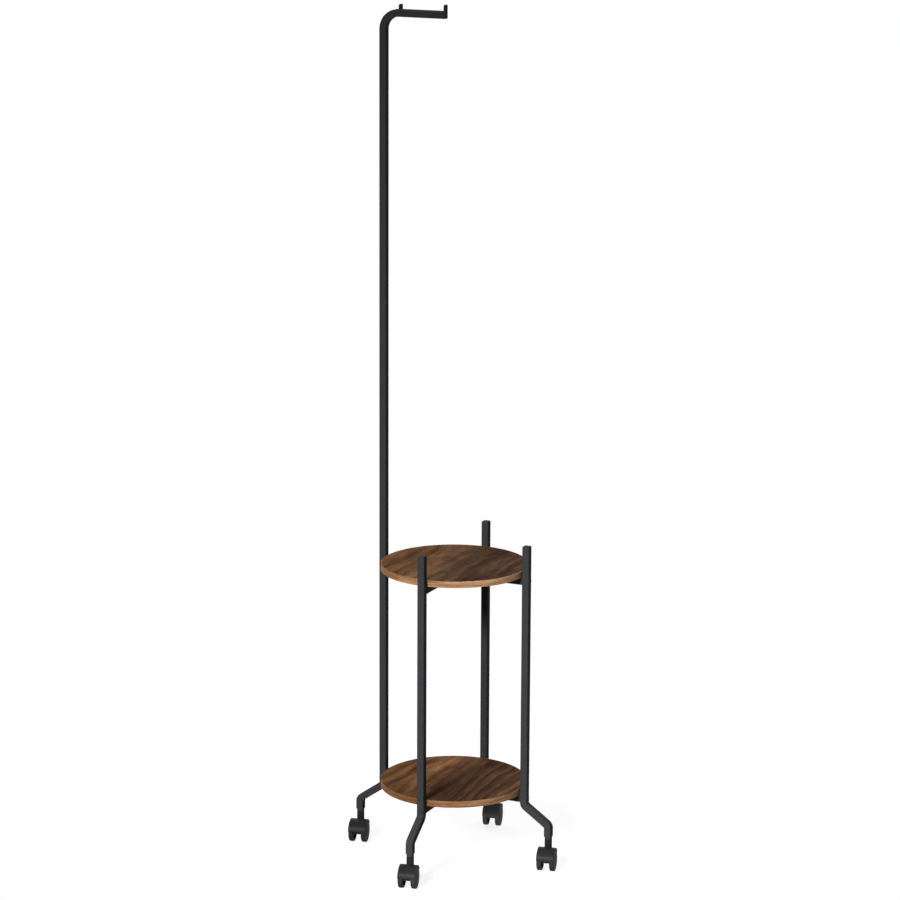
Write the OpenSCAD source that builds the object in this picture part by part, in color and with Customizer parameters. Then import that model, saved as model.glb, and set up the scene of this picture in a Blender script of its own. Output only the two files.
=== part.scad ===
// Rolling two-tier plant stand: two round boards between four square-tube legs, one of which
// carries a tall pole with a hanging arm, on four twin-wheel casters.
// Millimetres. +Z is up. The origin is on the floor, under the centre of both shelves.
// +X runs from the pole leg to the right leg, +Y from the front leg to the back leg.

/* [Shelves] */
// Diameter of each finished shelf, over its edge band
shelf_d = 254; // [200:1:320]
// Thickness of the shelf boards
shelf_thickness = 11; // [9:0.5:18]
// Thickness of the band glued round each board's edge
edge_band_thickness = 1; // [0.5:0.1:2]
// Height of the lower shelf's top face above the floor
lower_shelf_height = 137; // [135:1:200]
// Height of the upper shelf's top face above the floor
upper_shelf_height = 525; // [400:1:560]

/* [Leg tubes] */
// Outside width of the square leg and pole tube
tube_w = 12.7; // [12:0.1:16]
// Wall of the square leg and pole tube
tube_wall = 1; // [0.8:0.1:1.5]
// Outside corner radius of the square leg and pole tube
tube_corner_r = 1.6; // [1:0.1:2.5]
// Gap between a shelf's edge and the faces of the legs
shelf_leg_gap = 0.9; // [0.4:0.1:3]
// How far the four leg tubes stand above the upper shelf's top face
leg_rise = 41.6; // [36:0.2:90]
// How far each foot stands outside its leg
foot_spread = 45.4; // [35:0.1:60]
// Height where the leg's and the slanting stretch's centre lines cross
upper_bend_height = 108; // [104:0.5:110]
// Slant of the stretch between a leg's two bends, from the vertical; its sine and cosine fit in six digits
leg_slant = 55.09; // [53.28:0.01:56.72]
// Centre-line radius of the two bends in a leg
leg_bend_r = 9; // [8.5:0.5:14]
// Height of the underside of the foot inserts
foot_end_height = 57; // [55:0.5:60]

/* [Pole and arm] */
// Height of the joint between the pole's two tubes
pole_joint_height = 1035; // [900:5:1200]
// Height of the arm's centre line
arm_height = 1461.4; // [1300:0.1:1600]
// Centre-line radius of the gooseneck
gooseneck_r = 28; // [22:1:60]
// Distance from the pole's centre line to the arm's cut end
arm_reach = 112; // [105:1:150]
// Thickness of the stop plates on the arm
stop_thickness = 2; // [1.5:0.1:3]
// Radius of the upper corners of the stop plates
stop_corner_r = 3; // [1:0.5:5]
// How far the inner stop stands above the arm
inner_stop_rise = 8.5; // [5:0.5:20]
// How far the end plate stands above the arm
end_plate_rise = 10.5; // [5:0.5:20]
// Clear length of arm between the two stops
hanging_length = 80; // [60:1:110]
// How far a joint sleeve reaches into each tube
sleeve_reach = 35; // [20:1:50]
// Wall of the joint sleeves
sleeve_wall = 1.2; // [0.8:0.1:2]
// Clearance of a joint sleeve in its tube, each side
sleeve_clearance = 0.1; // [0.05:0.05:0.3]
// Distance of each joint screw from the joint line
joint_screw_offset = 18; // [8:1:28]

/* [Shelf bars] */
// Outside width of the square bars under the shelves
bar_w = 12.7; // [10:0.1:12.7]
// Wall of the shelf bars
bar_wall = 1; // [0.8:0.1:1.5]
// Outside corner radius of the shelf bars
bar_corner_r = 1.2; // [0.5:0.1:2]
// Length of the threaded plug in each bar end
bar_plug_length = 14; // [10:1:25]
// Clearance of a threaded plug in its bar, each side
bar_plug_clearance = 0.05; // [0.05:0.05:0.2]
// Distance of the shelf screws from the stand's axis
shelf_screw_r = 85; // [40:1:95]

/* [Screws and plugs] */
// Shank diameter of the screws that hold legs to bars
leg_screw_d = 4; // [3:0.5:4.5]
// Head diameter of the leg screws
leg_screw_head_d = 6.8; // [6.5:0.1:7.2]
// Head height of the leg screws
leg_screw_head_h = 2.6; // [2:0.1:3.5]
// Length of the leg screws under the head
leg_screw_length = 11; // [9:0.5:12]
// Width of the hexagon socket in a leg screw's head, over its corners
leg_screw_socket_d = 3.4; // [2.5:0.1:4]
// Depth of the hexagon socket in a leg screw's head
leg_screw_socket_depth = 1.3; // [0.8:0.1:1.6]
// Radial clearance of the leg screws in the tube wall
leg_screw_clearance = 0.2; // [0.1:0.05:0.4]
// Radial clearance of the leg screws in their threaded plugs
leg_screw_thread_clearance = 0.05; // [0.05:0.05:0.2]
// Radial room for the screw head in the leg's outer wall
access_clearance = 0.25; // [0.15:0.05:0.4]
// Radial overlap of a plug's rim on the leg's face
plug_rim = 0.6; // [0.3:0.1:0.6]
// Thickness of a plug's rim
plug_rim_h = 0.7; // [0.5:0.1:1.2]
// How far a plug's barrel reaches past the tube wall
plug_barrel = 1.4; // [0.8:0.1:2.5]
// Radial clearance of a plug's barrel in the access hole
plug_clearance = 0.05; // [0.05:0.05:0.15]
// Shank diameter of the shelf screws
shelf_screw_d = 3.5; // [3:0.1:4]
// Head diameter of the shelf screws
shelf_screw_head_d = 7; // [6:0.5:9]
// Head height of the shelf screws
shelf_screw_head_h = 2.2; // [1.5:0.1:3]
// How far a shelf screw bites into the board
shelf_screw_bite = 7.5; // [5:0.5:8]
// Radial clearance of a shelf screw
shelf_screw_clearance = 0.05; // [0.05:0.05:0.2]
// Room past the tip of a shelf screw in the board
shelf_screw_end_room = 0.5; // [0.3:0.1:1]
// Shank diameter of the pole's joint screws
joint_screw_d = 3.5; // [3:0.1:4.5]
// Head diameter of the pole's joint screws
joint_screw_head_d = 7; // [6:0.5:8]
// Head height of the pole's joint screws
joint_screw_head_h = 2.2; // [1.5:0.1:3]
// How far a joint screw reaches past the sleeve's wall
joint_screw_tip = 2; // [1:0.5:4]
// Radial clearance of a joint screw
joint_screw_clearance = 0.05; // [0.05:0.05:0.2]

/* [Caps and inserts] */
// Thickness of the leg caps above the tube
cap_h = 2.4; // [1.5:0.1:4]
// Height of the sloping rim on a leg cap
cap_slope_h = 1.2; // [0.5:0.1:1.5]
// How far the cap's crown is drawn in from its rim
cap_slope_in = 1.4; // [0.8:0.1:3]
// How far a leg cap reaches into its tube
cap_plug_length = 10; // [6:1:20]
// Clearance of caps and foot inserts in their tubes, each side
insert_clearance = 0.1; // [0.05:0.05:0.3]
// Thickness of the rim under each foot tube
insert_rim_h = 1.5; // [1:0.1:2]
// How far a foot insert reaches into its tube
insert_length = 9.5; // [8:0.5:12]

/* [Casters] */
// Diameter of the caster wheels
wheel_d = 38; // [36:0.5:39]
// Width of one wheel's tread
wheel_w = 8; // [7:0.1:9]
// Gap between the two wheels of a caster
wheel_gap = 14.4; // [13.5:0.1:17]
// Radius of the wheel's shoulders
wheel_shoulder_r = 1.2; // [0.8:0.1:2.5]
// Radius where the domed cover of a wheel begins
wheel_dome_edge_r = 13; // [11:0.5:15]
// Rise of the domed cover over the wheel's face
wheel_dome_h = 1; // [0.6:0.1:1.5]
// Inner radius of the hollow in the wheel's hidden side
wheel_hub_r = 5.5; // [4.5:0.1:7]
// Outer radius of the hollow in the wheel's hidden side
wheel_hollow_r = 15; // [12:0.5:15.5]
// Depth of the hollow in the wheel's hidden side
wheel_hollow_depth = 5; // [3:0.5:5.5]
// Side clearance between a wheel and the housing's web
wheel_side_clearance = 0.5; // [0.3:0.1:0.8]
// Diameter of the axles
axle_d = 5; // [4:0.5:6]
// Radial running clearance of the wheels on their axle
axle_clearance = 0.05; // [0.02:0.01:0.08]
// How deep an axle reaches into each wheel
axle_engagement = 6.5; // [4:0.5:6.5]
// Radial fit of the axle in the housing's web
axle_seat_clearance = 0.02; // [0.01:0.01:0.05]
// Distance of the axle behind the swivel axis
caster_trail = 13; // [11:0.5:15]
// Direction in which the casters point, turned about the vertical
caster_heading = 12; // [-90:1:90]
// Gap between a wheel's tread and the hood over it
hood_clearance = 1; // [0.8:0.1:2]
// Wall of the hood
hood_wall = 1.6; // [1.4:0.1:2.4]
// Edge radius of the hood
hood_edge_r = 0.7; // [0.3:0.1:0.7]
// How far the hood stands past the wheels' treads on each side
hood_overhang = 0.1; // [0:0.1:2]
// Angle from the vertical to the hood's leading edge
hood_front_angle = 62; // [58:1:70]
// Angle from the vertical to the hood's trailing edge
hood_back_angle = 80; // [70:1:95]
// Height of the web's underside above the floor
web_bottom_height = 18; // [17:0.5:22]
// Radius of the boss that holds the axle in the web
axle_boss_r = 5.2; // [4.5:0.1:6.5]
// How far the web's edge stays inside the wheels' treads
web_setback = 2; // [1:0.5:4]
// Diameter of the neck round the swivel stem
neck_d = 13; // [11:0.1:13.4]
// Height of the stem's collar over the neck
collar_h = 4.3; // [3:0.1:7]
// Gap between the turning neck and the fixed collar
swivel_gap = 0.3; // [0.2:0.1:0.6]
// Diameter of the stem's screwed end
stem_thread_d = 8; // [6:0.5:8]
// Length of the stem's screwed end
stem_thread_length = 11; // [9:0.5:11]
// Radial clearance of the stem's screwed end in its insert
stem_thread_clearance = 0.05; // [0.05:0.05:0.15]
// Diameter of the stem's pin in the neck
stem_pin_d = 6; // [5:0.5:6.5]
// Radial running clearance of the stem's pin
stem_pin_clearance = 0.05; // [0.02:0.01:0.08]
// Height of the stem pin's lower end above the floor
stem_pin_bottom = 30; // [28.5:0.5:33]
// Chamfer at the stem pin's lower end
stem_pin_chamfer = 0.8; // [0.4:0.1:1.2]
// Room under the stem pin
stem_pin_end_room = 0.8; // [0.5:0.1:1.5]
// Height of the retaining ring's groove above the floor
clip_height = 44; // [40:0.5:46]
// Thickness of the retaining ring
clip_thickness = 1.2; // [0.8:0.1:1.6]
// Depth of the groove for the retaining ring
clip_groove_depth = 0.6; // [0.4:0.1:1]
// How far the retaining ring stands out of its groove
clip_stand_out = 1; // [0.6:0.1:1.5]
// Play of the retaining ring along its groove, each side
clip_play = 0.15; // [0.1:0.05:0.3]
// Radial play of the retaining ring in its groove
clip_groove_play = 0.05; // [0.03:0.01:0.1]
// Room round the retaining ring in the housing's recess
clip_recess_room = 0.3; // [0.2:0.05:0.5]
// Opening angle of the retaining ring
clip_opening = 50; // [20:5:90]

/* [Hidden] */
$fn = 96;
LARGE_FN = 180;
SMALL_FN = 48;
SIDES = ["front", "right", "back", "pole"];
SIDE_ANGLES = [-90, 0, 90, 180];
SHORT_SIDES = [0, 1, 2];
POLE_SIDE = 3;
UPPER = 0;
LOWER = 1;
CASTER_PIECES = ["stem", "retaining_ring", "housing", "axle", "left_wheel", "right_wheel"];

// A cut reaches this far past the faces that it opens
cut = 1;
// A bend turns this many degrees further than it needs, so that rounding leaves no crack past it
bend_lap = 1e-8;
board_r = shelf_d / 2 - edge_band_thickness;
leg_r = shelf_d / 2 + shelf_leg_gap + tube_w / 2;
leg_tube_top = upper_shelf_height + leg_rise;
leg_inner_face = leg_r - tube_w / 2;
foot_r = leg_r + foot_spread;
tube_bore = tube_w - 2 * tube_wall;
bar_bore = bar_w - 2 * bar_wall;
SHELF_TOPS = [upper_shelf_height, lower_shelf_height];
leg_tangent = leg_bend_r * tan(leg_slant / 2);
leg_slant_length = foot_spread / sin(leg_slant) - 2 * leg_tangent;
leg_bend_start = upper_bend_height + leg_tangent;
foot_bend_end = upper_bend_height - foot_spread / tan(leg_slant) - leg_tangent;
foot_tube_end = foot_end_height + insert_rim_h;
sleeve_w = tube_bore - 2 * sleeve_clearance;
insert_w = tube_bore - 2 * insert_clearance;
bar_plug_w = bar_bore - 2 * bar_plug_clearance;
access_hole_r = leg_screw_head_d / 2 + access_clearance;
pole_x = -leg_r;
arm_end_x = pole_x + arm_reach;
wheel_r = wheel_d / 2;
wheel_inner_x = wheel_gap / 2;
web_w = wheel_gap - 2 * wheel_side_clearance;
web_r = wheel_r - web_setback;
hood_inner_r = wheel_r + hood_clearance;
hood_outer_r = hood_inner_r + hood_wall;
hood_half_w = wheel_inner_x + wheel_w + hood_overhang;
neck_top = foot_end_height - collar_h - swivel_gap;
neck_base = wheel_r + hood_outer_r * cos(hood_front_angle);
clip_groove_r = stem_pin_d / 2 - clip_groove_depth;
clip_outer_r = stem_pin_d / 2 + clip_stand_out;
bar_z = [for (top = SHELF_TOPS) top - shelf_thickness - bar_w / 2];

// Square outline with rounded corners
module square_outline(side, corner_r) {
    reach = side / 2 - corner_r;
    square([side, 2 * reach], center = true);
    square([2 * reach, side], center = true);
    for (x = [-reach, reach], y = [-reach, reach])
        translate([x, y]) circle(corner_r, $fn = SMALL_FN);
}

// Straight stretch of tube outline, from a point in a given direction in the XZ plane
module straight(from, tilt, length) {
    translate(from) rotate([0, tilt, 0]) linear_extrude(length) children();
}

// Straight stretch of tube outline, down from the frame's XY plane
module stretch_down(length) {
    translate([0, 0, -length]) linear_extrude(length) children();
}

// Bent stretch of tube outline, down from the frame's XY plane and round a centre on +X
module bend_down(radius, turn) {
    translate([radius, 0, 0]) rotate([90, 0, 0]) rotate([0, 0, 180])
        rotate_extrude(angle = turn + bend_lap) translate([radius, 0]) children();
}

// Moves to the lower end of such a bend
module past_bend(radius, turn) {
    translate([radius, 0, 0]) rotate([0, -turn, 0]) translate([-radius, 0, 0]) children();
}

// The path of one leg, outward along +X, filled with the outline that is handed in
module leg_path(past_ends) {
    translate([leg_r, 0, leg_bend_start]) {
        linear_extrude(leg_tube_top - leg_bend_start + past_ends) children();
        bend_down(leg_bend_r, leg_slant) children();
        past_bend(leg_bend_r, leg_slant) {
            stretch_down(leg_slant_length) children();
            translate([0, 0, -leg_slant_length]) rotate([0, 0, 180]) {
                bend_down(leg_bend_r, leg_slant) children();
                past_bend(leg_bend_r, leg_slant)
                    stretch_down(foot_bend_end - foot_tube_end + past_ends) children();
            }
        }
    }
}

// Turns what is built along +X to the side of a leg
module at_side(i) {
    rotate([0, 0, SIDE_ANGLES[i]]) children();
}

// Lays a cylinder along +X from a point
module along_x(from, radius, length) {
    translate(from) rotate([0, 90, 0]) cylinder(r = radius, h = length);
}

// Round board with blind holes for the shelf screws in its underside
module shelf_board(top) {
    color([0.30, 0.20, 0.14]) difference() {
        translate([0, 0, top - shelf_thickness]) cylinder(r = board_r, h = shelf_thickness, $fn = LARGE_FN);
        for (a = SIDE_ANGLES)
            rotate([0, 0, a]) translate([shelf_screw_r, 0, top - shelf_thickness - cut])
                cylinder(d = shelf_screw_d + 2 * shelf_screw_clearance,
                    h = cut + shelf_screw_bite + shelf_screw_end_room);
    }
}

// Thin band round the edge of a board
module shelf_edge_band(top) {
    color([0.66, 0.50, 0.36]) translate([0, 0, top - shelf_thickness]) difference() {
        cylinder(d = shelf_d, h = shelf_thickness, $fn = LARGE_FN);
        translate([0, 0, -cut]) cylinder(r = board_r, h = shelf_thickness + 2 * cut, $fn = LARGE_FN);
    }
}

// Square bar along +X under a shelf, drilled for the shelf screws at the given places
module shelf_bar(level, from, to, screw_places) {
    color([0.10, 0.10, 0.11]) difference() {
        straight([from, 0, bar_z[level]], 90, to - from) square_outline(bar_w, bar_corner_r);
        straight([from - cut, 0, bar_z[level]], 90, to - from + 2 * cut) square(bar_bore, center = true);
        for (x = screw_places)
            translate([x, 0, bar_z[level] - bar_w / 2 - cut])
                cylinder(d = shelf_screw_d + 2 * shelf_screw_clearance, h = bar_w + 2 * cut);
    }
}

// Bar that runs right across, from the pole leg to the right leg
module long_bar(level) {
    shelf_bar(level, -leg_inner_face, leg_inner_face, [-shelf_screw_r, shelf_screw_r]);
}

// Half bar that is welded to the side of the long bar and runs out to a leg
module half_bar(level, i) {
    at_side(i) shelf_bar(level, bar_w / 2, leg_inner_face, [shelf_screw_r]);
}

// Threaded plug in the end of a bar
module bar_end_plug(level) {
    plug_start = leg_inner_face - bar_plug_length;
    difference() {
        translate([plug_start, -bar_plug_w / 2, bar_z[level] - bar_plug_w / 2])
            cube([bar_plug_length, bar_plug_w, bar_plug_w]);
        along_x([plug_start - cut, 0, bar_z[level]], leg_screw_d / 2 + leg_screw_thread_clearance,
            bar_plug_length + 2 * cut);
    }
}

// Screw whose head sits inside the leg and whose shank runs into the bar's plug
module leg_screw(level) {
    head_seat = leg_inner_face + tube_wall;
    difference() {
        union() {
            along_x([head_seat, 0, bar_z[level]], leg_screw_head_d / 2, leg_screw_head_h);
            along_x([head_seat - leg_screw_length, 0, bar_z[level]], leg_screw_d / 2, leg_screw_length);
        }
        translate([head_seat + leg_screw_head_h - leg_screw_socket_depth, 0, bar_z[level]])
            rotate([0, 90, 0]) cylinder(d = leg_screw_socket_d, h = leg_screw_socket_depth + cut, $fn = 6);
    }
}

// Plastic plug that closes the access hole in a leg's outer wall
module access_hole_plug(level) {
    outer_face = leg_r + tube_w / 2;
    along_x([outer_face, 0, bar_z[level]], access_hole_r + plug_rim, plug_rim_h);
    along_x([outer_face - tube_wall - plug_barrel, 0, bar_z[level]], access_hole_r - plug_clearance,
        tube_wall + plug_barrel);
}

// Pan-head screw that comes up through a bar into the board
module shelf_screw(level) {
    bar_bottom = bar_z[level] - bar_w / 2;
    translate([shelf_screw_r, 0, bar_bottom - shelf_screw_head_h])
        cylinder(d = shelf_screw_head_d, h = shelf_screw_head_h);
    translate([shelf_screw_r, 0, bar_bottom]) cylinder(d = shelf_screw_d, h = bar_w + shelf_screw_bite);
}

// One bent leg, drilled at both shelves
module leg(i) {
    color([0.11, 0.11, 0.12]) at_side(i) difference() {
        leg_path(0) square_outline(tube_w, tube_corner_r);
        leg_path(cut) square(tube_bore, center = true);
        for (z = bar_z) {
            along_x([leg_inner_face - cut, 0, z], leg_screw_d / 2 + leg_screw_clearance, tube_w / 2);
            along_x([leg_r, 0, z], access_hole_r, tube_w / 2 + cut);
        }
        if (i == POLE_SIDE)
            rotate([0, 0, -SIDE_ANGLES[i]]) joint_screw_hole(leg_tube_top - joint_screw_offset);
    }
}

// Cap pressed into the top of a leg
module leg_cap(i) {
    crown_w = tube_w - 2 * cap_slope_in;
    rim_h = cap_h - cap_slope_h;
    color([0.06, 0.06, 0.06]) at_side(i) translate([leg_r, 0, leg_tube_top]) {
        linear_extrude(rim_h) square_outline(tube_w, tube_corner_r);
        translate([0, 0, rim_h]) intersection() {
            linear_extrude(cap_slope_h) square_outline(tube_w, tube_corner_r);
            cap_crown(crown_w);
        }
        translate([0, 0, -cap_plug_length]) linear_extrude(cap_plug_length) square(insert_w, center = true);
    }
}

// Sloping crown of a leg cap, as the overlap of two trapezoid prisms
module cap_crown(crown_w) {
    outline = [[-tube_w / 2, 0], [tube_w / 2, 0], [crown_w / 2, cap_slope_h], [-crown_w / 2, cap_slope_h]];
    intersection() {
        translate([0, tube_w / 2, 0]) rotate([90, 0, 0]) linear_extrude(tube_w) polygon(outline);
        translate([-tube_w / 2, 0, 0]) rotate([90, 0, 90]) linear_extrude(tube_w) polygon(outline);
    }
}

// Hole for a joint screw in the pole's back face
module joint_screw_hole(z) {
    translate([pole_x, tube_w / 2 + cut, z]) rotate([90, 0, 0])
        cylinder(d = joint_screw_d + 2 * joint_screw_clearance, h = tube_w / 2 + cut);
}

// Square sleeve that joins two tubes of the pole
module joint_sleeve(joint_z) {
    color([0.45, 0.46, 0.47]) difference() {
        translate([pole_x, 0, joint_z - sleeve_reach]) linear_extrude(2 * sleeve_reach) difference() {
            square(sleeve_w, center = true);
            square(sleeve_w - 2 * sleeve_wall, center = true);
        }
        for (side = [-1, 1]) joint_screw_hole(joint_z + side * joint_screw_offset);
    }
}

// Pan-head screw in the back face of the pole
module joint_screw(z) {
    reach = tube_wall + sleeve_clearance + sleeve_wall + joint_screw_tip;
    translate([pole_x, tube_w / 2, z]) rotate([90, 0, 0]) cylinder(d = joint_screw_d, h = reach);
    translate([pole_x, tube_w / 2 + joint_screw_head_h, z]) rotate([90, 0, 0])
        cylinder(d = joint_screw_head_d, h = joint_screw_head_h);
}

// All screws of one pole joint
module joint_screw_pair(joint_z) {
    for (side = [-1, 1]) joint_screw(joint_z + side * joint_screw_offset);
}

// Straight lower tube of the pole, between the two joints
module pole_lower_tube() {
    length = pole_joint_height - leg_tube_top;
    color([0.11, 0.11, 0.12]) difference() {
        straight([pole_x, 0, leg_tube_top], 0, length) square_outline(tube_w, tube_corner_r);
        straight([pole_x, 0, leg_tube_top - cut], 0, length + 2 * cut) square(tube_bore, center = true);
        joint_screw_hole(leg_tube_top + joint_screw_offset);
        joint_screw_hole(pole_joint_height - joint_screw_offset);
    }
}

// The path of the upper tube: up, round the gooseneck and out along the arm
module gooseneck_path(past_ends) {
    bend_start = arm_height - gooseneck_r;
    translate([pole_x, 0, bend_start]) rotate([180, 0, 0]) {
        linear_extrude(bend_start - pole_joint_height + past_ends) children();
        bend_down(gooseneck_r, 90) children();
        past_bend(gooseneck_r, 90) stretch_down(arm_reach - gooseneck_r + past_ends) children();
    }
}

// Upper tube of the pole with its gooseneck and arm
module pole_upper_tube() {
    color([0.11, 0.11, 0.12]) difference() {
        gooseneck_path(0) square_outline(tube_w, tube_corner_r);
        gooseneck_path(cut) square(tube_bore, center = true);
        joint_screw_hole(pole_joint_height + joint_screw_offset);
    }
}

// Upright plate across the arm with rounded upper corners
module stop_plate(x, bottom, height) {
    reach = tube_w / 2 - stop_corner_r;
    color([0.10, 0.10, 0.11]) translate([x, 0, bottom]) rotate([90, 0, 90]) linear_extrude(stop_thickness) {
        translate([-tube_w / 2, 0]) square([tube_w, height - stop_corner_r]);
        translate([-reach, 0]) square([2 * reach, height]);
        for (y = [-reach, reach]) translate([y, height - stop_corner_r]) circle(stop_corner_r);
    }
}

// Plate that keeps a hanger out of the bend
module arm_inner_stop() {
    stop_plate(arm_end_x - hanging_length - stop_thickness, arm_height + tube_w / 2, inner_stop_rise);
}

// Plate that closes the arm's cut end and stands above it
module arm_end_plate() {
    stop_plate(arm_end_x, arm_height - tube_w / 2, tube_w + end_plate_rise);
}

// Square plug with a rim that closes a foot tube and holds the caster's stem
module foot_insert(i) {
    color([0.07, 0.07, 0.07]) at_side(i) translate([foot_r, 0, foot_end_height]) difference() {
        union() {
            linear_extrude(insert_rim_h) square_outline(tube_w, tube_corner_r);
            linear_extrude(insert_rim_h + insert_length) square(insert_w, center = true);
        }
        translate([0, 0, -cut]) cylinder(d = stem_thread_d + 2 * stem_thread_clearance,
            h = insert_rim_h + insert_length + 2 * cut);
    }
}

// Puts a caster piece, built on the swivel axis with its trail along -Y, under a foot
module at_caster(i) {
    rotate([0, 0, SIDE_ANGLES[i]]) translate([foot_r, 0, 0])
        rotate([0, 0, caster_heading - SIDE_ANGLES[i]]) children();
}

// Puts what is built on the axle's middle, turning about X, on a caster's axle
module on_axle() {
    translate([0, -caster_trail, wheel_r]) children();
}

// Steel stem: screwed end, collar and grooved pin
module caster_stem() {
    collar_bottom = foot_end_height - collar_h;
    color([0.55, 0.56, 0.58]) difference() {
        union() {
            translate([0, 0, foot_end_height]) cylinder(d = stem_thread_d, h = stem_thread_length);
            translate([0, 0, collar_bottom]) cylinder(d = neck_d, h = collar_h);
            translate([0, 0, stem_pin_bottom + stem_pin_chamfer])
                cylinder(d = stem_pin_d, h = collar_bottom - stem_pin_bottom - stem_pin_chamfer);
            translate([0, 0, stem_pin_bottom])
                cylinder(d1 = stem_pin_d - 2 * stem_pin_chamfer, d2 = stem_pin_d, h = stem_pin_chamfer);
        }
        translate([0, 0, clip_height - clip_thickness / 2 - clip_play]) difference() {
            cylinder(d = stem_pin_d + 2 * cut, h = clip_thickness + 2 * clip_play);
            cylinder(r = clip_groove_r, h = clip_thickness + 2 * clip_play);
        }
    }
}

// Spring ring in the stem's groove, which keeps the housing on the stem
module caster_retaining_ring() {
    ring_inner_r = clip_groove_r + clip_groove_play;
    color([0.70, 0.71, 0.72]) translate([0, 0, clip_height - clip_thickness / 2])
        rotate([0, 0, clip_opening / 2]) rotate_extrude(angle = 360 - clip_opening)
            translate([ring_inner_r, 0]) square([clip_outer_r - ring_inner_r, clip_thickness]);
}

// Section of the hood before the wheels' room is cut out of it: a band with rounded outer edges, and the
// rib that joins it to the web
module hood_section() {
    inner_r = hood_inner_r - cut;
    translate([inner_r, -hood_half_w]) square([hood_outer_r - hood_edge_r - inner_r, 2 * hood_half_w]);
    translate([inner_r, -hood_half_w + hood_edge_r])
        square([hood_outer_r - inner_r, 2 * (hood_half_w - hood_edge_r)]);
    translate([web_r - cut, -web_w / 2]) square([hood_outer_r - hood_edge_r - web_r + cut, web_w]);
    for (x = [-1, 1])
        translate([hood_outer_r - hood_edge_r, x * (hood_half_w - hood_edge_r)])
            circle(hood_edge_r, $fn = SMALL_FN);
}

// Web between the wheels: cut off level over the floor, but for the boss round the axle
module caster_web() {
    on_axle() translate([-web_w / 2, 0, 0]) rotate([90, 0, 90]) linear_extrude(web_w) {
        circle(axle_boss_r);
        intersection() {
            circle(web_r);
            translate([-web_r - cut, web_bottom_height - wheel_r]) square(2 * (web_r + cut));
        }
    }
}

// Moulded housing: neck, web between the wheels and the hood that arches over them
module caster_housing() {
    socket_r = stem_pin_d / 2 + stem_pin_clearance;
    socket_bottom = stem_pin_bottom - stem_pin_end_room;
    color([0.06, 0.06, 0.065]) difference() {
        union() {
            on_axle() rotate([0, 90, 0]) rotate([0, 0, 180 - hood_front_angle])
                rotate_extrude(angle = hood_front_angle + hood_back_angle) hood_section();
            caster_web();
            translate([0, 0, neck_base]) cylinder(d = neck_d, h = neck_top - neck_base);
        }
        for (side = [-1, 1]) wheel_pocket(side);
        translate([0, 0, socket_bottom]) cylinder(r = socket_r, h = neck_top - socket_bottom + cut);
        translate([0, 0, clip_height - clip_thickness / 2 - clip_recess_room])
            cylinder(r = clip_outer_r + clip_recess_room, h = clip_thickness + 2 * clip_recess_room);
        on_axle() along_x([-web_w / 2 - cut, 0, 0], axle_d / 2 + axle_seat_clearance, web_w + 2 * cut);
    }
}

// Space that a wheel needs beside the web, under the hood
module wheel_pocket(side) {
    length = hood_half_w;
    on_axle() along_x([side > 0 ? web_w / 2 : -web_w / 2 - length, 0, 0], hood_inner_r, length);
}

// Steel axle that carries both wheels
module caster_axle() {
    length = wheel_gap + 2 * axle_engagement;
    color([0.70, 0.71, 0.72]) on_axle() along_x([-length / 2, 0, 0], axle_d / 2, length);
}

// Half section of a wheel: shoulders, domed cover, hollow back and blind bore
module wheel_section() {
    rim_reach = wheel_r - wheel_shoulder_r;
    dome_r = (pow(wheel_dome_edge_r, 2) + pow(wheel_dome_h, 2)) / (2 * wheel_dome_h);
    bore_depth = axle_engagement + 2 * axle_clearance;
    difference() {
        union() {
            square([rim_reach, wheel_w]);
            translate([0, wheel_shoulder_r]) square([wheel_r, wheel_w - 2 * wheel_shoulder_r]);
            for (y = [wheel_shoulder_r, wheel_w - wheel_shoulder_r])
                translate([rim_reach, y]) circle(wheel_shoulder_r, $fn = SMALL_FN);
            intersection() {
                translate([0, wheel_w + wheel_dome_h - dome_r]) circle(dome_r, $fn = LARGE_FN);
                translate([0, wheel_w - cut]) square([wheel_dome_edge_r, wheel_dome_h + 2 * cut]);
            }
        }
        translate([wheel_hub_r, -cut]) square([wheel_hollow_r - wheel_hub_r, wheel_hollow_depth + cut]);
        translate([-cut, -cut]) square([axle_d / 2 + axle_clearance + cut, bore_depth + cut]);
    }
}

// One wheel; side is -1 for the left one and 1 for the right one
module caster_wheel(side) {
    color([0.05, 0.05, 0.055]) on_axle() translate([side * wheel_inner_x, 0, 0]) rotate([0, side * 90, 0])
        rotate_extrude() wheel_section();
}

// Draws one kind of caster piece by its name
module caster_piece(piece) {
    if (piece == "stem") caster_stem();
    if (piece == "retaining_ring") caster_retaining_ring();
    if (piece == "housing") caster_housing();
    if (piece == "axle") caster_axle();
    if (piece == "left_wheel") caster_wheel(-1);
    if (piece == "right_wheel") caster_wheel(1);
}

// Repeats what is built along +X at all four legs
module at_every_side() {
    for (i = [0:POLE_SIDE]) at_side(i) children();
}

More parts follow.
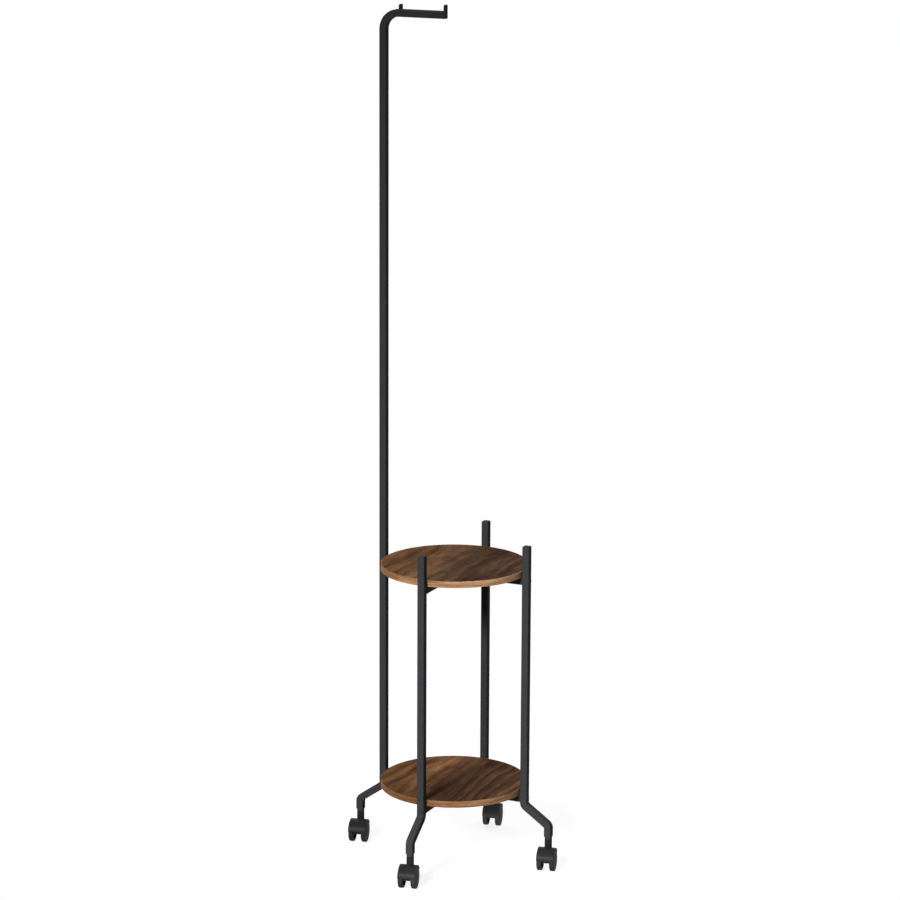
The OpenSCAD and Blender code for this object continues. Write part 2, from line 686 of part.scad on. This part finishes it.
shelf_board(upper_shelf_height);  // upper_shelf_board
shelf_edge_band(upper_shelf_height);  // upper_shelf_edge_band
shelf_board(lower_shelf_height);  // lower_shelf_board
shelf_edge_band(lower_shelf_height);  // lower_shelf_edge_band
long_bar(UPPER);  // upper_long_bar
half_bar(UPPER, 0);  // upper_front_bar
half_bar(UPPER, 2);  // upper_back_bar
long_bar(LOWER);  // lower_long_bar
half_bar(LOWER, 0);  // lower_front_bar
half_bar(LOWER, 2);  // lower_back_bar
color([0.62, 0.63, 0.64]) at_every_side() for (level = [UPPER, LOWER]) bar_end_plug(level);  // bar_end_plugs
color([0.30, 0.30, 0.31]) at_every_side() for (level = [UPPER, LOWER]) leg_screw(level);  // leg_screws
color([0.05, 0.05, 0.05]) at_every_side() for (level = [UPPER, LOWER]) access_hole_plug(level);  // access_hole_plugs
color([0.30, 0.30, 0.31]) at_every_side() for (level = [UPPER, LOWER]) shelf_screw(level);  // shelf_screws
joint_sleeve(leg_tube_top);  // lower_joint_sleeve
joint_sleeve(pole_joint_height);  // upper_joint_sleeve
color([0.08, 0.08, 0.08]) {  // joint_screws
    joint_screw_pair(leg_tube_top);
    joint_screw_pair(pole_joint_height);
}
pole_lower_tube();
pole_upper_tube();
arm_inner_stop();
arm_end_plate();
for (i = SHORT_SIDES)
    leg_cap(i);
for (i = [0:POLE_SIDE]) {
    leg(i);
    foot_insert(i);
    for (piece = CASTER_PIECES)
        at_caster(i) caster_piece(piece);
}
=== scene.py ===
import math

import bpy
from mathutils import Euler, Matrix, Vector


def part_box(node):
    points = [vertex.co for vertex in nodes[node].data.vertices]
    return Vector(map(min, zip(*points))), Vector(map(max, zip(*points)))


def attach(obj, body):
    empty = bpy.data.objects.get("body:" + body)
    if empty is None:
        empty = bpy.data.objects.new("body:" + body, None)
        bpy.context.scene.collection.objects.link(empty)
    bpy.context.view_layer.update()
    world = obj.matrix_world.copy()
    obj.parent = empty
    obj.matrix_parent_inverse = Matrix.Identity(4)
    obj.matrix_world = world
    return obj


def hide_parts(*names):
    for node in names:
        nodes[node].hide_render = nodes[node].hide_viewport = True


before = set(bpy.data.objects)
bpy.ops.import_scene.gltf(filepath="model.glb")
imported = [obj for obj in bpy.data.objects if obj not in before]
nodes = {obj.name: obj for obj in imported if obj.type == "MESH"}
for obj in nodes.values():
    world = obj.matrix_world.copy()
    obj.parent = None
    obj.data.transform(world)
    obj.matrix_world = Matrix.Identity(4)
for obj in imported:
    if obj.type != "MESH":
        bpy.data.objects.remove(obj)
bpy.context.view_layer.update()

# Camera
# A long lens two metres up and five and a half away, to the right of the front leg, looking down at the stand.
# It was fitted to the rims of both shelves, the tubes' edges and the arm, and has no shift.
camera = bpy.data.objects.new("camera", bpy.data.cameras.new("camera"))
bpy.context.scene.collection.objects.link(camera)
camera.data.sensor_width = 36.0
camera.data.lens = 134.96
camera.data.clip_end = 50.0
camera.location = (2.2841, -5.1236, 1.9926)
looks_down, turned_left, rolled = 12.748, 24.118, 0.257
aim = Euler((math.radians(90 - looks_down), 0, math.radians(turned_left))).to_matrix()
camera.rotation_euler = (aim @ Matrix.Rotation(math.radians(rolled), 3, "Z")).to_euler()
bpy.context.scene.camera = camera
bpy.context.scene.view_settings.view_transform = "Standard"


# Floor and light
# A pale floor shows white but for a soft shadow, in a white room. The key lamp is aimed low, so that the arm is
# darker than the legs, and right-hand faces than front ones. A large lamp overhead lights the boards, another
# lights the back, and a narrow beam reaches the back caster under the lower shelf.
class Socket:
    """A shader socket that Python's operators work on, adding Math nodes."""

    def __init__(self, tree, out=None):
        self.tree = tree
        self.out = out

    def node(self, kind, settings=None, values=None, output=0):
        """Any node: its settings are set first, and then its sockets take values or links."""
        made = self.tree.nodes.new(kind)
        for name, value in (settings or {}).items():
            if name == "stops":
                ramp = made.color_ramp
                while len(ramp.elements) < len(value):
                    ramp.elements.new(0.5)
                for element, (position, colour) in zip(ramp.elements, value):
                    element.position = position
                    element.color = (*colour, 1.0)
            else:
                setattr(made, name, value)
        self.into(made, values or {})
        return Socket(self.tree, made.outputs[output])

    def into(self, made, values):
        """Sets or links the sockets of a node that is already there."""
        for name, value in values.items():
            socket = made.inputs[name]
            if isinstance(value, Socket):
                self.tree.links.new(value.out, socket)
            else:
                socket.default_value = value

    def maths(self, operation, first, second):
        return self.node("ShaderNodeMath", {"operation": operation}, {0: first, 1: second})

    def __add__(self, other):
        return self.maths("ADD", self, other)

    def __radd__(self, other):
        return self.maths("ADD", other, self)

    def __sub__(self, other):
        return self.maths("SUBTRACT", self, other)

    def __rsub__(self, other):
        return self.maths("SUBTRACT", other, self)

    def __mul__(self, other):
        return self.maths("MULTIPLY", self, other)

    def __rmul__(self, other):
        return self.maths("MULTIPLY", other, self)


def seen_rays(start):
    """1 for what the camera, mirrors and glass show, and 0 for the light that reaches the stand."""
    rays = start.node("ShaderNodeLightPath").out.node.outputs
    direct, mirrored, through = (Socket(start.tree, rays[f"Is {kind} Ray"])
                                 for kind in ("Camera", "Glossy", "Transmission"))
    return start.maths("MAXIMUM", direct, start.maths("MAXIMUM", mirrored, through))


def length_of(start, place):
    """The length of a vector."""
    return start.node("ShaderNodeVectorMath", {"operation": "LENGTH"}, {0: place}, output="Value")


def between(value, low, high):
    """0 up to low, 1 from high on and smooth between them. With low above high it falls from 1 to 0."""
    return value.node("ShaderNodeMapRange", {"interpolation_type": "SMOOTHSTEP"},
                      {"Value": value, "From Min": low, "From Max": high})


def lamp(name, kind, place, target, power):
    """A lamp at its place, aimed at its target. Gives its settings back."""
    made = bpy.data.objects.new(name, bpy.data.lights.new(name, kind))
    bpy.context.scene.collection.objects.link(made)
    made.data.energy = power
    made.location = place
    made.rotation_euler = (Vector(target) - Vector(place)).to_track_quat("-Z", "Y").to_euler()
    return made.data


world = bpy.data.worlds.new("white room")
bpy.context.scene.world = world
world.use_nodes = True
room = Socket(world.node_tree)
backdrop = room.node("ShaderNodeBackground", {}, {"Color": (1, 1, 1, 1), "Strength": 1.0})
ambient = room.node("ShaderNodeBackground", {}, {"Color": (1, 1, 1, 1), "Strength": 0.12})
sky = room.node("ShaderNodeMixShader", {}, {0: seen_rays(room), 1: ambient, 2: backdrop})
room.into(world.node_tree.nodes["World Output"], {"Surface": sky})

floor_grey = (0.24, 0.24, 0.24, 1)
floor_lift = 0.82
shadow_reach, white_from = 0.35, 0.80
bpy.ops.object.select_all(action="DESELECT")
bpy.ops.mesh.primitive_circle_add(vertices=96, radius=6.0, fill_type="NGON", location=(0, 0, 0))
floor = bpy.context.object
floor.name = "floor"
floor_finish = bpy.data.materials.new("pale floor")
floor_finish.use_nodes = True
paint = Socket(floor_finish.node_tree)
matte = paint.node("ShaderNodeBsdfDiffuse", {}, {"Color": floor_grey, "Roughness": 0.0})
white = paint.node("ShaderNodeEmission", {}, {"Color": (1, 1, 1, 1), "Strength": 1.0})
lift = paint.node("ShaderNodeEmission", {}, {"Color": (1, 1, 1, 1), "Strength": floor_lift})
near = paint.node("ShaderNodeAddShader", {}, {0: matte, 1: lift})
far = between(length_of(paint, paint.node("ShaderNodeTexCoord", output="Object")), shadow_reach, white_from)
shown = paint.node("ShaderNodeMixShader", {}, {0: far, 1: near, 2: white})
paint.into(floor_finish.node_tree.nodes["Material Output"], {
    "Surface": paint.node("ShaderNodeMixShader", {}, {0: seen_rays(paint), 1: matte, 2: shown})})
floor.data.materials.append(floor_finish)

key = lamp("key", "AREA", place=(-0.2, -5.8, 3.5), target=(0.6, 0, 0.1), power=27.5)
key.size = 1.2
key.spread = math.radians(32)
overhead = lamp("top", "AREA", place=(0.6, 1.2, 5.6), target=(0, 0, 0.7), power=110)
overhead.size = 3.0
behind = lamp("back", "AREA", place=(-4.6, 4.4, 2.4), target=(0, 0, 0.6), power=230)
behind.size = 3.0
beam = lamp("beam", "SPOT", place=(1.7, -5.4, 0.35), target=(-0.01, 0.2, -0.03), power=2600)
beam.shadow_soft_size = 0.06
beam.spot_size = math.radians(2.6)
beam.spot_blend = 1.0


# Bars under the shelves
# Thin-walled square steel bars: a long one right across and two half bars welded to its sides, under each
# shelf. All the steelwork has the same black satin powder coat, with its fine orange peel.
def new_finish(name):
    """A new material, the start of its maths and its Principled shader."""
    made = bpy.data.materials.new(name)
    made.use_nodes = True
    return made, Socket(made.node_tree), made.node_tree.nodes["Principled BSDF"]


def noise_at(start, place, scale, detail, roughness=0.5):
    """Noise read at a place that other nodes work out."""
    return start.node("ShaderNodeTexNoise", {}, {
        "Vector": place, "Scale": scale, "Detail": detail, "Roughness": roughness}, output="Fac")


def noise(start, scale, detail, stretch=(1, 1, 1), shift=(0, 0, 0), roughness=0.5):
    """Noise in the piece's own coordinates, in metres. A larger stretch packs it closer along that axis."""
    place = start.node("ShaderNodeTexCoord", output="Object")
    place = start.node("ShaderNodeMapping", {}, {"Vector": place, "Location": shift, "Scale": stretch})
    return noise_at(start, place, scale, detail, roughness)


def bump(start, height, depth, strength):
    """A Normal that follows a height, as deep as given in metres."""
    return start.node("ShaderNodeBump", {}, {
        "Height": height, "Distance": depth, "Strength": strength}, output="Normal")


def mix(start, factor, first, second, blend="MIX"):
    """A colour between two, or the first one multiplied by the second."""
    return start.node("ShaderNodeMix", {"data_type": "RGBA", "blend_type": blend, "clamp_factor": True},
                      {0: factor, 6: first, 7: second}, output=2)


def dress(names, made):
    """Gives CAD nodes their material."""
    for name in names:
        nodes[name].data.materials.clear()
        nodes[name].data.materials.append(made)


powder_coat, start, shader = new_finish("black powder coat")
coat_dark, coat_light = (0.0300, 0.0300, 0.0315, 1), (0.0390, 0.0390, 0.0412, 1)
peel = noise(start, scale=520, detail=3)
cloud = noise(start, scale=34, detail=2)
start.into(shader, {
    "Base Color": mix(start, cloud, coat_dark, coat_light),
    "Roughness": 0.40 + 0.1 * peel + 0.06 * cloud,
    "Specular IOR Level": 0.005,
    "Normal": bump(start, peel, depth=0.00009, strength=0.6),
})
dress([f"{level}_{bar}" for level in ("upper", "lower") for bar in ("long_bar", "front_bar", "back_bar")],
      powder_coat)


# Welds under the shelves
# Short fillet welds in the corners between the long bars and the half bars, laid as overlapping drops and
# coated with the bars. They run up both sides of each half bar.
def weld_bead(name, start, end, radius):
    """One bead from start to end: a row of overlapping drops, melted into one skin."""
    start, end = Vector(start), Vector(end)
    pitch, end_radius = 0.75 * radius, 0.8 * radius
    steps = max(2, round((end - start).length / pitch))
    bpy.ops.object.select_all(action="DESELECT")
    drops = []
    for step in range(steps + 1):
        bpy.ops.mesh.primitive_ico_sphere_add(subdivisions=2, radius=radius if 0 < step < steps else end_radius,
                                              location=start.lerp(end, step / steps))
        drops.append(bpy.context.object)
    for drop in drops:
        drop.select_set(True)
    bpy.context.view_layer.objects.active = drops[0]
    bpy.ops.object.join()
    bead = bpy.context.object
    bead.name = name
    bpy.ops.object.transform_apply(location=True, rotation=True, scale=True)
    melt = bead.modifiers.new("melt", "REMESH")
    melt.mode = "VOXEL"
    melt.voxel_size = 0.17 * radius
    bpy.ops.object.modifier_apply(modifier=melt.name)
    settle = bead.modifiers.new("settle", "SMOOTH")
    settle.iterations = 3
    bpy.ops.object.modifier_apply(modifier=settle.name)
    bpy.ops.object.shade_smooth()
    bead.data.materials.clear()
    bead.data.materials.append(powder_coat)
    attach(bead, "stand")


bar_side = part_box("upper_long_bar")[1][1]
bar_bead, short_of_corner = 0.0011, 0.0012
for level in ("upper", "lower"):
    (_, _, bar_bottom), (_, _, bar_top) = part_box(f"{level}_long_bar")
    for end, y in (("front", -bar_side), ("back", bar_side)):
        for hand, x in (("left", -bar_side), ("right", bar_side)):
            weld_bead(f"{level}_{end}_{hand}_weld", (x, y, bar_bottom + short_of_corner),
                      (x, y, bar_top - short_of_corner), bar_bead)


# Plugs and screws in the joints of bars and legs
# Threaded steel plugs sit in the bar ends, and socket-head screws inside the legs run into them. The plugs are
# zinc plated and the screws black.
zinc, start, shader = new_finish("bright zinc plate")
zinc_dark, zinc_light = (0.60, 0.61, 0.62, 1), (0.74, 0.745, 0.75, 1)
blotch = noise(start, scale=160, detail=3)
fine = noise(start, scale=1500, detail=2)
start.into(shader, {
    "Base Color": mix(start, blotch, zinc_dark, zinc_light),
    "Metallic": 1.0,
    "Roughness": 0.24 + 0.16 * blotch,
    "Normal": bump(start, fine, depth=0.00003, strength=0.5),
})
black_screw, start, shader = new_finish("black oxide steel")
oxide_dark, oxide_light = (0.026, 0.026, 0.027, 1), (0.040, 0.040, 0.042, 1)
blotch = noise(start, scale=240, detail=3)
start.into(shader, {
    "Base Color": mix(start, blotch, oxide_dark, oxide_light),
    "Metallic": 0.15,
    "Roughness": 0.44 + 0.14 * blotch,
    "Specular IOR Level": 0.05,
})
dress(["bar_end_plugs"], zinc)
dress(["leg_screws"], black_screw)


# Legs
# Each leg is one square steel tube with a double bend that throws its foot outwards. It is drilled through for
# its screws and coated after bending.
dress([f"{side}_leg" for side in ("front", "right", "back", "pole")], powder_coat)


# Pole and arm
# Two more tubes go on up from the leg on the left, and the upper one bends over into the arm. They are coated
# steel, slid over square zinc-plated sleeves.
dress(["pole_lower_tube", "pole_upper_tube"], powder_coat)
dress(["lower_joint_sleeve", "upper_joint_sleeve"], zinc)


# Stops on the arm
# Two upright steel plates welded across the arm keep a load from sliding off it. They are coated with the
# arm, over the weld beads at their feet.
dress(["arm_inner_stop", "arm_end_plate"], powder_coat)
stop_bead, short_of_side = 0.0009, 0.0022
(stop_start, stop_left, arm_top), (stop_end, stop_right, _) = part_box("arm_inner_stop")
plate_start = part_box("arm_end_plate")[0][0]
for name, x in (("inner_stop_left_weld", stop_start), ("inner_stop_right_weld", stop_end),
                ("end_plate_weld", plate_start)):
    weld_bead(name, (x, stop_left + short_of_side, arm_top), (x, stop_right - short_of_side, arm_top),
              stop_bead)


# Boards
# Round pressed boards covered with a dark brown rustic laminate, whose wood grain runs from the front leg to
# the back one. Broad tones, streaks and fine pores lie at different places on each of the two.
def own_place(start):
    """How far a point lies across, along and up in the piece's own coordinates, in metres."""
    place = start.node("ShaderNodeTexCoord", output="Object")
    return [Socket(start.tree, out)
            for out in start.node("ShaderNodeSeparateXYZ", {}, {"Vector": place}).out.node.outputs]


def put_together(start, x, y, z):
    """A vector of three numbers."""
    return start.node("ShaderNodeCombineXYZ", {}, {"X": x, "Y": y, "Z": z})


def colour_ramp(start, value, stops):
    """The colours of the stops, blended along a value from 0 to 1."""
    return start.node("ShaderNodeValToRGB", {"stops": stops}, {"Fac": value}, output="Color")


dark_wood, start, shader = new_finish("dark rustic wood")
across, along, up = own_place(start)
wander = across + 0.05 * noise(start, scale=8, detail=2, stretch=(1, 0.55, 1))
grained = put_together(start, wander, 0.075 * along, 0.5 * up)
streak = noise_at(start, grained, scale=62, detail=7, roughness=0.66)
fibre = noise_at(start, grained, scale=420, detail=4, roughness=0.65)
broad = noise(start, scale=13, detail=3, stretch=(1, 0.5, 1), shift=(0.31, 0.17, 0), roughness=0.55)
from_heart = length_of(start, put_together(start, wander, 0.035 + 0.11 * along, up))
year = start.maths("FRACT", 95 * from_heart + 1.4 * broad, 0.0)
ring = between(year, 0.0, 0.75) - between(year, 0.86, 1.0)
wood_stops = ((0.35, (0.017, 0.0080, 0.0048)),
              (0.43, (0.034, 0.0165, 0.0100)),
              (0.50, (0.055, 0.0290, 0.0180)),
              (0.57, (0.085, 0.0460, 0.0285)),
              (0.67, (0.150, 0.0850, 0.0500)))
tone = colour_ramp(start, 0.46 * streak + 0.20 * fibre + 0.26 * broad + 0.08 * ring, wood_stops)
golden, redder_with_painted_light = (2.20, 2.12, 1.60, 1), (1.16, 1.08, 1.00, 1)
pole_side = between(0.06 * broad - across, -0.01, 0.13)
lower_board = between(up, 0.4, 0.2)
tone = mix(start, pole_side, tone, golden, "MULTIPLY")
# Painted light: the lower board is made lighter, against the shade that the upper shelf casts on it, and a
# little redder.
tone = mix(start, lower_board, tone, redder_with_painted_light, "MULTIPLY")
pore_colour = (0.012, 0.006, 0.004, 1)
pore = between(noise_at(start, grained, scale=1400, detail=2, roughness=0.6), 0.56, 0.68)
start.into(shader, {
    "Base Color": mix(start, 0.6 * pore, tone, pore_colour),
    "Roughness": 0.62 + 0.16 * streak,
    "Specular IOR Level": 0.002,
    "Normal": bump(start, 1 - pore, depth=0.00012, strength=0.5),
})
dress(["upper_shelf_board", "lower_shelf_board"], dark_wood)


# Edge bands
# A thin tan wood band with its own grain along the rim, glued round each board flush with both faces. It is
# darker on the lower board, and painted shade darkens it towards the pole.
band_wood, start, shader = new_finish("tan edge band")
across, _, up = own_place(start)
grain = noise(start, scale=20, detail=4, stretch=(1, 1, 16), shift=(0.2, 0.1, 0), roughness=0.6)
fibre = noise(start, scale=130, detail=3, stretch=(1, 1, 9), shift=(0.5, 0.3, 0), roughness=0.6)
patch = noise(start, scale=11, detail=2, stretch=(1, 1, 2), shift=(0.9, 0.1, 0))
band_stops = ((0.30, (0.150, 0.072, 0.034)),
              (0.42, (0.270, 0.140, 0.070)),
              (0.52, (0.400, 0.225, 0.120)),
              (0.62, (0.520, 0.315, 0.175)),
              (0.74, (0.640, 0.420, 0.260)))
tone = colour_ramp(start, 0.62 * grain + 0.38 * fibre, band_stops)
painted_shade_to_pole, dimmer = (0.58, 0.46, 0.36, 1), (0.68, 0.66, 0.62, 1)
# Painted shade: the band's colour is darkened towards the pole.
pole_side = between(0.24 * patch - across, -0.02, 0.18)
lower_board = between(up, 0.4, 0.2)
tone = mix(start, pole_side, tone, painted_shade_to_pole, "MULTIPLY")
start.into(shader, {
    "Base Color": mix(start, lower_board, tone, dimmer, "MULTIPLY"),
    "Roughness": 0.5 + 0.14 * fibre,
    "Specular IOR Level": 0.05,
    "Normal": bump(start, fibre, depth=0.00008, strength=0.5),
})
dress(["upper_shelf_edge_band", "lower_shelf_edge_band"], band_wood)


# Shelf screws and joint screws
# Black steel pan-head screws with a cross recess: four come up through the bars into each board, and two hold
# each sleeve in the pole from behind. The domed heads show, and the shanks are hidden.
head_radius, head_height, shank_radius = 0.0035, 0.0022, 0.00175


def pan_head_screws(name, node, length, places):
    """All screws of one CAD node: one is modelled with its head up, and copied and turned to each place."""
    under_top = 0.9 * head_height
    dome = 0.6 * head_height
    slot_length, slot_width, slot_depth = 1.05 * head_radius, 0.24 * head_radius, 0.6 * head_height
    bpy.ops.object.select_all(action="DESELECT")
    bpy.ops.mesh.primitive_cylinder_add(vertices=40, radius=head_radius, depth=head_height,
                                        location=(0, 0, head_height / 2))
    head = bpy.context.object
    bpy.ops.object.transform_apply(location=True, rotation=True, scale=True)
    for edge in head.data.edges:
        edge.select = all(head.data.vertices[corner].co.z > under_top for corner in edge.vertices)
    bpy.ops.object.mode_set(mode="EDIT")
    bpy.ops.mesh.select_mode(type="EDGE")
    bpy.ops.mesh.bevel(offset=dome, segments=6)
    bpy.ops.object.mode_set(mode="OBJECT")
    cutters = []
    for turn in (0, math.pi / 2):
        bpy.ops.mesh.primitive_cube_add(size=1, location=(0, 0, head_height), rotation=(0, 0, turn))
        cutter = bpy.context.object
        cutter.scale = (slot_length, slot_width, 2 * slot_depth)
        bpy.ops.object.transform_apply(location=False, rotation=True, scale=True)
        cutters.append(cutter)
    for cutter in cutters:
        cross = head.modifiers.new("cross", "BOOLEAN")
        cross.operation = "DIFFERENCE"
        cross.object = cutter
        bpy.ops.object.select_all(action="DESELECT")
        head.select_set(True)
        bpy.context.view_layer.objects.active = head
        bpy.ops.object.modifier_apply(modifier=cross.name)
        bpy.data.objects.remove(cutter)
    bpy.ops.mesh.primitive_cylinder_add(vertices=24, radius=shank_radius, depth=length,
                                        location=(0, 0, -length / 2))
    head.select_set(True)
    bpy.context.view_layer.objects.active = head
    bpy.ops.object.join()
    bpy.ops.object.shade_smooth_by_angle(angle=math.radians(35))
    copies = []
    for place, turn in places:
        copy = head.copy()
        copy.data = head.data.copy()
        bpy.context.scene.collection.objects.link(copy)
        copy.data.transform(Matrix.Translation(place) @ turn.to_4x4())
        copies.append(copy)
    bpy.data.objects.remove(head)
    bpy.ops.object.select_all(action="DESELECT")
    for copy in copies:
        copy.select_set(True)
    bpy.context.view_layer.objects.active = copies[0]
    bpy.ops.object.join()
    screws = bpy.context.object
    screws.name = name
    screws.data.materials.clear()
    screws.data.materials.append(black_screw)
    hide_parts(node)
    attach(screws, "stand")


def driven(axis, tip, turn):
    """A screw's direction: tipped from head up about an axis, after it was turned about its own length."""
    return Matrix.Rotation(tip, 3, axis) @ Matrix.Rotation(turn, 3, "Z")


from_axis = 0.085
shelf_screw_places = []
for level in ("upper", "lower"):
    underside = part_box(f"{level}_long_bar")[0][2]
    for x, y, turn in ((from_axis, 0, 0.4), (-from_axis, 0, 1.1), (0, from_axis, 0.2), (0, -from_axis, 0.8)):
        shelf_screw_places.append(((x, y, underside), driven("X", math.pi, turn)))
pan_head_screws("shelf_pan_head_screws", "shelf_screws", length=0.0202, places=shelf_screw_places)

from_joint = 0.018
(tube_left, _, lower_joint), (tube_right, pole_back, upper_joint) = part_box("pole_lower_tube")
pole_x = (tube_left + tube_right) / 2
joint_screw_places = []
for joint in (lower_joint, upper_joint):
    for side in (-1, 1):
        joint_screw_places.append(((pole_x, pole_back, joint + side * from_joint),
                                   driven("X", -math.pi / 2, 0.3 + side)))
pan_head_screws("joint_pan_head_screws", "joint_screws", length=0.0043, places=joint_screw_places)


# Caps, plugs and foot inserts
# Moulded black plastic, pressed into the tube ends and into the access holes over the leg screws. The foot
# inserts take the screwed ends of the caster stems.
black_plastic, start, shader = new_finish("black moulded plastic")
plastic_dark, plastic_light = (0.0290, 0.0290, 0.0300, 1), (0.0350, 0.0350, 0.0365, 1)
grain = noise(start, scale=1300, detail=2)
start.into(shader, {
    "Base Color": mix(start, grain, plastic_dark, plastic_light),
    "Roughness": 0.46 + 0.12 * grain,
    "Specular IOR Level": 0.005,
    "Normal": bump(start, grain, depth=0.00005, strength=0.5),
})
dress([f"{side}_leg_cap" for side in ("front", "right", "back")], black_plastic)
dress([f"{side}_foot_insert" for side in ("front", "right", "back", "pole")], black_plastic)
dress(["access_hole_plugs"], black_plastic)


# Casters
# Twin-wheel casters: a moulded nylon housing turns on a steel stem, held by a ring in its groove, and carries
# both nylon wheels on a steel axle. The housings are a little shinier than the wheels.
def nylon(name, shine, dark, light):
    """Moulded black nylon with a fine grain, between two greys."""
    made, start, shader = new_finish(name)
    grain = noise(start, scale=700, detail=3)
    cloud = noise(start, scale=60, detail=2)
    start.into(shader, {
        "Base Color": mix(start, cloud, (dark, dark, dark, 1), (light, light, light, 1)),
        "Roughness": 0.34 + 0.08 * grain + 0.06 * cloud,
        "Specular IOR Level": shine,
        "Normal": bump(start, grain, depth=0.00005, strength=0.5),
    })
    return made


# Painted shade: the housings get a darker nylon than the wheels, so that the hood tops read as shaded from
# above.
shaded_housing_nylon = nylon("satin black nylon", shine=0.045, dark=0.0115, light=0.0160)
wheel_nylon = nylon("black wheel nylon", shine=0.01, dark=0.0230, light=0.0290)
for side in ("front", "right", "back", "pole"):
    dress([f"{side}_caster_housing"], shaded_housing_nylon)
    dress([f"{side}_caster_left_wheel", f"{side}_caster_right_wheel"], wheel_nylon)
    dress([f"{side}_caster_axle", f"{side}_caster_retaining_ring"], zinc)
    dress([f"{side}_caster_stem"], black_screw)
